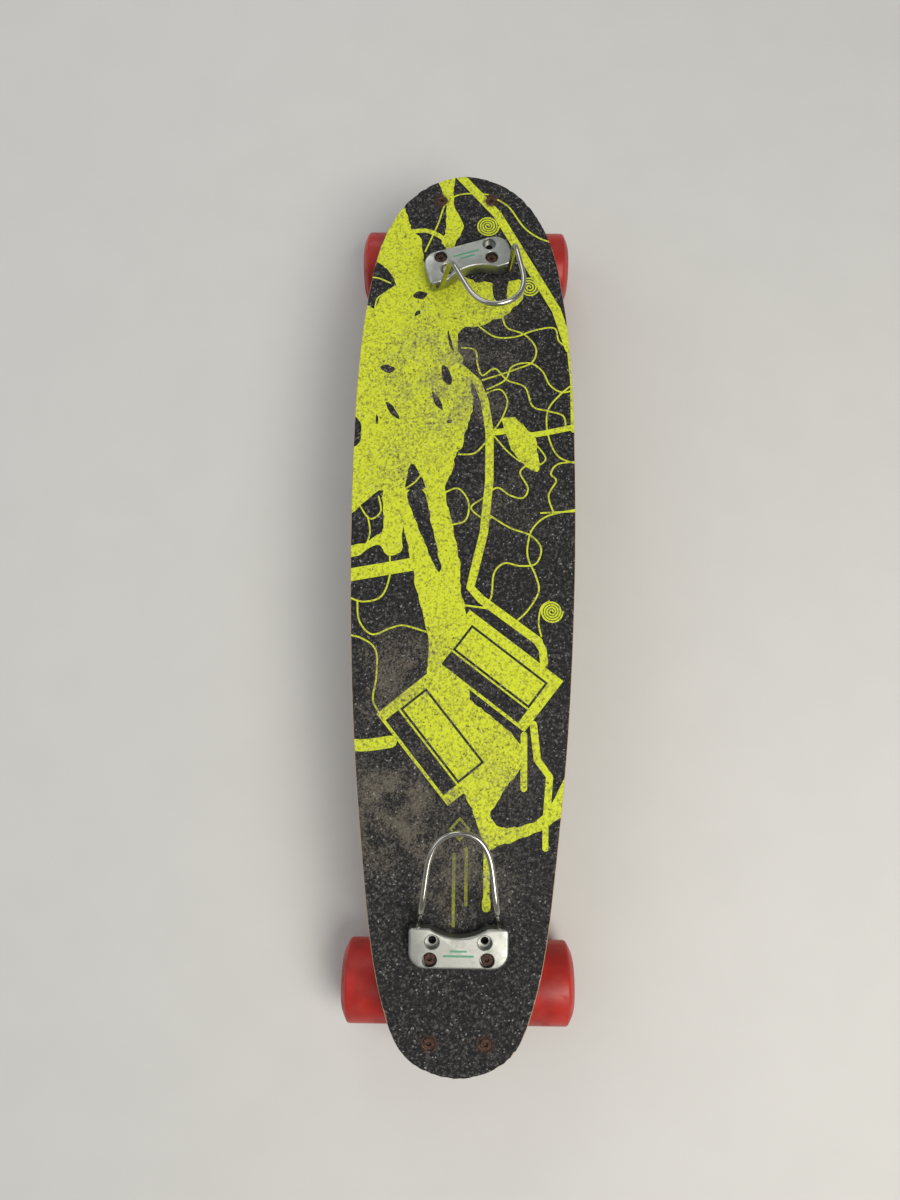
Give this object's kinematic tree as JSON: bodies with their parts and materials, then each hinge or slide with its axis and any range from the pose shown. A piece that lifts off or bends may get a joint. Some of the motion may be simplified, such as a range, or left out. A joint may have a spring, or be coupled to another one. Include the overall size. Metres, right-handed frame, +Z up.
{
  "type": "skateboard",
  "caption": "Cruiser skateboard with a cambered wooden deck, printed grit top, steering trucks, soft wheels and wire foot hooks on bolted plates.",
  "frame": {"origin": "on the ground, under the middle of the deck", "axes": "+Y towards the nose, +X to the rider's right looking at the nose, +Z up"},
  "size_m": [0.182, 0.717, 0.1881],
  "materials": {
    "deck_board": "laminated maple, clear-coated",
    "grip_sheet": "printed grit coat",
    "hook_plate": "satin anodised",
    "wire_hook": "drawn wire",
    "riser": "moulded",
    "baseplate": "cast",
    "pivot_cup": "moulded",
    "kingpin": "zinc-plated",
    "kingpin_nut": "zinc-plated",
    "bushing": "cast urethane",
    "cup_washer": "zinc-plated",
    "hanger": "cast",
    "axle": "ground",
    "axle_nut": "zinc-plated",
    "bolt": "rusted",
    "lock_nut": "zinc-plated",
    "tyre": "cast urethane",
    "core": "moulded",
    "bearings": "ground"
  },
  "bodies": {
    "board": {"deck_board": "deck_board", "grip_sheet": "grip_sheet", "riser_front": "riser", "baseplate_front": "baseplate", "pivot_cup_front": "pivot_cup", "kingpin_front": "kingpin", "kingpin_nut_front": "kingpin_nut", "bushing_board_side_front": "bushing", "bushing_road_side_front": "bushing", "cup_washer_board_side_front": "cup_washer", "cup_washer_road_side_front": "cup_washer", "hook_plate_front": "hook_plate", "wire_hook_front": "wire_hook", "bolt_inner_left_front": "bolt", "lock_nut_inner_left_front": "lock_nut", "bolt_inner_right_front": "bolt", "lock_nut_inner_right_front": "lock_nut", "bolt_outer_left_front": "bolt", "lock_nut_outer_left_front": "lock_nut", "bolt_outer_right_front": "bolt", "lock_nut_outer_right_front": "lock_nut", "riser_rear": "riser", "baseplate_rear": "baseplate", "pivot_cup_rear": "pivot_cup", "kingpin_rear": "kingpin", "kingpin_nut_rear": "kingpin_nut", "bushing_board_side_rear": "bushing", "bushing_road_side_rear": "bushing", "cup_washer_board_side_rear": "cup_washer", "cup_washer_road_side_rear": "cup_washer", "hook_plate_rear": "hook_plate", "wire_hook_rear": "wire_hook", "bolt_inner_left_rear": "bolt", "lock_nut_inner_left_rear": "lock_nut", "bolt_inner_right_rear": "bolt", "lock_nut_inner_right_rear": "lock_nut", "bolt_outer_left_rear": "bolt", "lock_nut_outer_left_rear": "lock_nut", "bolt_outer_right_rear": "bolt", "lock_nut_outer_right_rear": "lock_nut"},
    "hanger_front": {"hanger_front": "hanger", "axle_front": "axle", "axle_nut_front_left": "axle_nut", "axle_nut_front_right": "axle_nut"},
    "hanger_rear": {"hanger_rear": "hanger", "axle_rear": "axle", "axle_nut_rear_left": "axle_nut", "axle_nut_rear_right": "axle_nut"},
    "wheel_front_left": {"tyre_front_left": "tyre", "core_front_left": "core", "bearings_front_left": "bearings"},
    "wheel_front_right": {"tyre_front_right": "tyre", "core_front_right": "core", "bearings_front_right": "bearings"},
    "wheel_rear_left": {"tyre_rear_left": "tyre", "core_rear_left": "core", "bearings_rear_left": "bearings"},
    "wheel_rear_right": {"tyre_rear_right": "tyre", "core_rear_right": "core", "bearings_rear_right": "bearings"}
  },
  "joints": [
    {"name": "steer_front", "type": "hinge", "parent": "board", "child": "hanger_front", "pos_m": [0, 0.28272, 0.04668], "axis": [0, -0.8886, -0.4586], "range_deg": [-12, 12], "stiffness_Nm_per_rad": 60, "deforming": ["bushing_board_side_front", "bushing_road_side_front"]},
    {"name": "steer_rear", "type": "hinge", "parent": "board", "child": "hanger_rear", "pos_m": [0, -0.28272, 0.04668], "axis": [0, 0.8886, -0.4586], "range_deg": [-12, 12], "stiffness_Nm_per_rad": 60, "deforming": ["bushing_board_side_rear", "bushing_road_side_rear"]},
    {"name": "spin_front_left", "type": "hinge", "parent": "hanger_front", "child": "wheel_front_left", "pos_m": [-0.0685, 0.30636, 0.03185], "axis": [1, 0, 0], "continuous": true},
    {"name": "spin_front_right", "type": "hinge", "parent": "hanger_front", "child": "wheel_front_right", "pos_m": [0.0685, 0.30636, 0.03185], "axis": [1, 0, 0], "continuous": true},
    {"name": "spin_rear_left", "type": "hinge", "parent": "hanger_rear", "child": "wheel_rear_left", "pos_m": [-0.0685, -0.30636, 0.03185], "axis": [1, 0, 0], "continuous": true},
    {"name": "spin_rear_right", "type": "hinge", "parent": "hanger_rear", "child": "wheel_rear_right", "pos_m": [0.0685, -0.30636, 0.03185], "axis": [1, 0, 0], "continuous": true}
  ]
}
